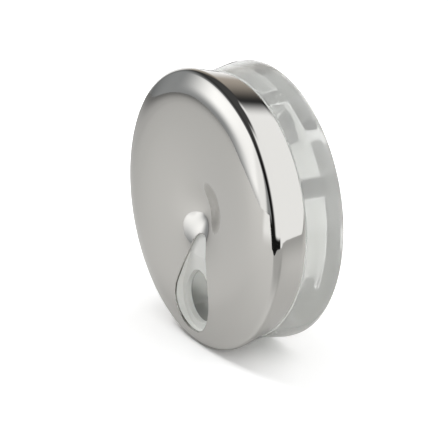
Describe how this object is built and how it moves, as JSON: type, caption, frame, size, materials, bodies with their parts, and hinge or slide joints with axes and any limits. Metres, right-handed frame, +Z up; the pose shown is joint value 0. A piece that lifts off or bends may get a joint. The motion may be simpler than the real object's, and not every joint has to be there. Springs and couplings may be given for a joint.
{
  "type": "pill dispenser",
  "caption": "Round pill dispenser standing on its rim: polished dished lid with a teardrop window, turning on a clear tray with wedge compartments.",
  "frame": {"origin": "under the middle of the dispenser, on the surface that it stands on", "axes": "the disc's axis runs along Y, the lid faces -Y, +Z is up"},
  "size_m": [0.106, 0.0314, 0.106],
  "materials": {
    "polished_steel": "mirror-polished stainless steel sheet",
    "clear_plastic": "clear moulded plastic, slightly frosted, faint green-grey",
    "liner_plastic": "translucent moulded plastic, satin",
    "acetal": "natural acetal, machined or moulded",
    "plain_steel": "bright stainless steel",
    "brass": "turned brass"
  },
  "bodies": {
    "tray": {"tray": "clear_plastic", "index_ring": "acetal", "pivot_bush": "acetal", "thrust_washer": "acetal", "hub_cap": "liner_plastic"},
    "lid": {"lid_shell": "polished_steel", "lid_liner": "liner_plastic", "threaded_insert": "brass", "pivot_screw": "plain_steel", "spring_washer": "plain_steel", "detent_spring": "plain_steel"},
    "detent": {"detent_ball": "plain_steel"}
  },
  "joints": [
    {"name": "lid_turn", "type": "hinge", "parent": "tray", "child": "lid", "pos_m": [0, 0, 0.053], "axis": [0, 1, 0], "continuous": true},
    {"name": "detent_click", "type": "slide", "parent": "lid", "child": "detent", "axis": [0, 0, -1], "range_m": [0, 0.0006], "stiffness_N_per_m": 1500, "springref_m": -0.001, "deforming": ["detent_spring"]}
  ]
}
